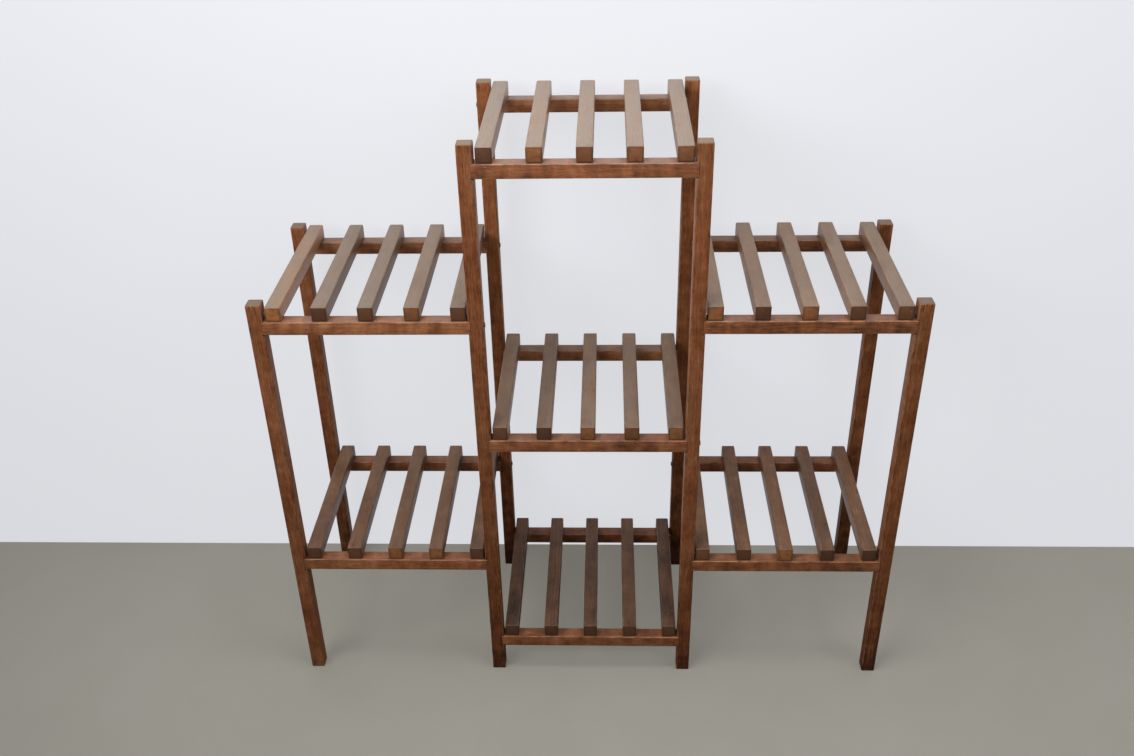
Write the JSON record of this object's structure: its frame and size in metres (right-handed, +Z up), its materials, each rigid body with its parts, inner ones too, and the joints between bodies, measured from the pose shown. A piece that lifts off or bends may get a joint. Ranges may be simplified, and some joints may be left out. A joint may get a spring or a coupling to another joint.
{
  "type": "tiered plant stand",
  "caption": "Free-standing plant stand of square wooden sticks: a tall centre tower with a lower wing on each side, slatted shelves on rails let into the posts.",
  "frame": {"origin": "on the floor, under the middle of the stand", "axes": "+Z up, +X to the right of someone facing the stand, the front faces -Y"},
  "size_m": [0.978, 0.296, 0.951],
  "materials": {
    "post_wood": "reddish brown stain on hardwood, dull and rubbed along the arrises",
    "rail_wood": "orange brown stain on hardwood, dull",
    "slat_wood": "brown stain on hardwood, faded grey on the tops",
    "nail_steel": "dull dark steel with some rust"
  },
  "bodies": {
    "root": {"tower_front_left_post": "post_wood", "tower_front_right_post": "post_wood", "tower_rear_left_post": "post_wood", "tower_rear_right_post": "post_wood", "left_wing_front_post": "post_wood", "left_wing_rear_post": "post_wood", "right_wing_front_post": "post_wood", "right_wing_rear_post": "post_wood", "tower_bottom_front_rail": "rail_wood", "tower_bottom_rear_rail": "rail_wood", "tower_bottom_slat_1": "slat_wood", "tower_bottom_slat_2": "slat_wood", "tower_bottom_slat_3": "slat_wood", "tower_bottom_slat_4": "slat_wood", "tower_bottom_slat_5": "slat_wood", "tower_middle_front_rail": "rail_wood", "tower_middle_rear_rail": "rail_wood", "tower_middle_slat_1": "slat_wood", "tower_middle_slat_2": "slat_wood", "tower_middle_slat_3": "slat_wood", "tower_middle_slat_4": "slat_wood", "tower_middle_slat_5": "slat_wood", "tower_top_front_rail": "rail_wood", "tower_top_rear_rail": "rail_wood", "tower_top_slat_1": "slat_wood", "tower_top_slat_2": "slat_wood", "tower_top_slat_3": "slat_wood", "tower_top_slat_4": "slat_wood", "tower_top_slat_5": "slat_wood", "left_lower_front_rail": "rail_wood", "left_lower_rear_rail": "rail_wood", "left_lower_slat_1": "slat_wood", "left_lower_slat_2": "slat_wood", "left_lower_slat_3": "slat_wood", "left_lower_slat_4": "slat_wood", "left_lower_slat_5": "slat_wood", "left_upper_front_rail": "rail_wood", "left_upper_rear_rail": "rail_wood", "left_upper_slat_1": "slat_wood", "left_upper_slat_2": "slat_wood", "left_upper_slat_3": "slat_wood", "left_upper_slat_4": "slat_wood", "left_upper_slat_5": "slat_wood", "right_lower_front_rail": "rail_wood", "right_lower_rear_rail": "rail_wood", "right_lower_slat_1": "slat_wood", "right_lower_slat_2": "slat_wood", "right_lower_slat_3": "slat_wood", "right_lower_slat_4": "slat_wood", "right_lower_slat_5": "slat_wood", "right_upper_front_rail": "rail_wood", "right_upper_rear_rail": "rail_wood", "right_upper_slat_1": "slat_wood", "right_upper_slat_2": "slat_wood", "right_upper_slat_3": "slat_wood", "right_upper_slat_4": "slat_wood", "right_upper_slat_5": "slat_wood"}
  },
  "joints": []
}
